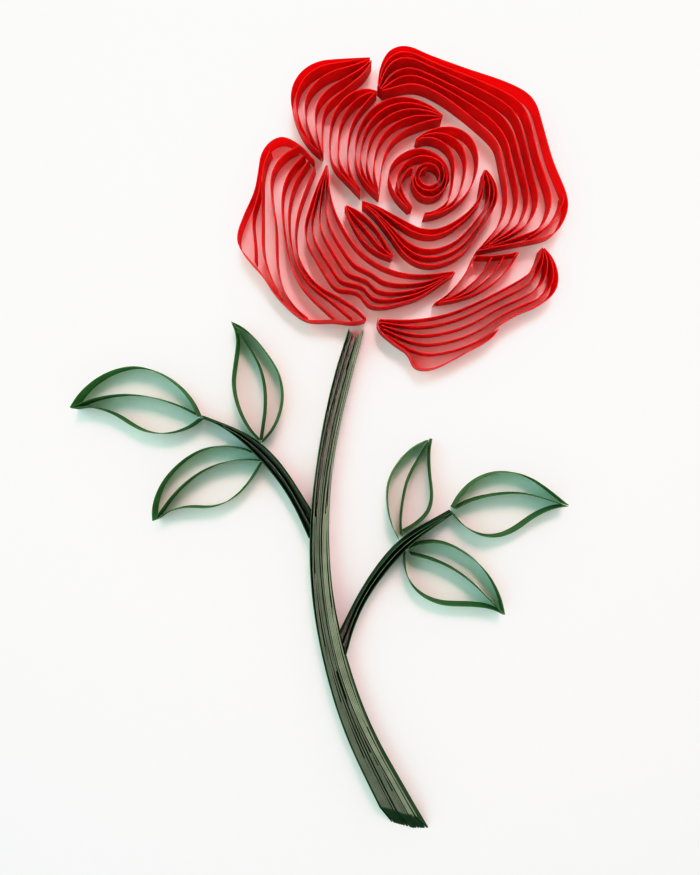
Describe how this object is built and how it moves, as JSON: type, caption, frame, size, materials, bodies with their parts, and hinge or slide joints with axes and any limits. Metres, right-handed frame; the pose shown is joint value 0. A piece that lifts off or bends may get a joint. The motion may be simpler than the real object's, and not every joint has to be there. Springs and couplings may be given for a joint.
{
  "type": "quilled paper rose picture",
  "caption": "Long-stemmed rose in quilled paper: strips of red and green paper set on edge and glued to a white card, for display.",
  "frame": {"origin": "middle of the card's back face, where it lies on the table", "axes": "+X to the right of the picture, +Y to its top, +Z out of the card towards the viewer"},
  "size_m": [0.21, 0.297, 0.0085],
  "materials": {
    "white_card": "matte",
    "red_paper": "matte",
    "green_paper": "matte"
  },
  "bodies": {
    "root": {"backing_card": "white_card", "bottom_petal_fan": "red_paper", "bottom_petal_rim": "red_paper", "far_left_petal_fan": "red_paper", "far_left_petal_rim": "red_paper", "heart_coil": "red_paper", "heart_inner_wrap": "red_paper", "heart_left_petal_fan": "red_paper", "heart_left_petal_rim": "red_paper", "heart_lower_petal_fan": "red_paper", "heart_lower_petal_rim": "red_paper", "heart_middle_wrap": "red_paper", "heart_outer_wrap": "red_paper", "heart_right_petal_fan": "red_paper", "heart_right_petal_rim": "red_paper", "left_branch_strip_1": "green_paper", "left_branch_strip_2": "green_paper", "left_branch_strip_3": "green_paper", "left_lower_leaf_lower_side": "green_paper", "left_lower_leaf_upper_side": "green_paper", "left_lower_leaf_vein": "green_paper", "left_tip_leaf_lower_side": "green_paper", "left_tip_leaf_upper_side": "green_paper", "left_tip_leaf_vein": "green_paper", "left_upper_leaf_lower_side": "green_paper", "left_upper_leaf_upper_side": "green_paper", "left_upper_leaf_vein": "green_paper", "lower_left_petal_fan": "red_paper", "lower_left_petal_rim": "red_paper", "lower_right_petal_fan": "red_paper", "lower_right_petal_rim": "red_paper", "right_branch_strip_1": "green_paper", "right_branch_strip_2": "green_paper", "right_branch_strip_3": "green_paper", "right_lower_leaf_lower_side": "green_paper", "right_lower_leaf_upper_side": "green_paper", "right_lower_leaf_vein": "green_paper", "right_tip_leaf_lower_side": "green_paper", "right_tip_leaf_upper_side": "green_paper", "right_tip_leaf_vein": "green_paper", "right_upper_leaf_lower_side": "green_paper", "right_upper_leaf_upper_side": "green_paper", "right_upper_leaf_vein": "green_paper", "small_petal_fan": "red_paper", "small_petal_rim": "red_paper", "stem_left_band": "green_paper", "stem_middle_band": "green_paper", "stem_right_band": "green_paper", "stem_side_strip": "green_paper", "top_left_petal_fan": "red_paper", "top_left_petal_rim": "red_paper", "top_right_petal_fan": "red_paper", "top_right_petal_rim": "red_paper", "upper_left_petal_fan": "red_paper", "upper_left_petal_rim": "red_paper"}
  },
  "joints": []
}
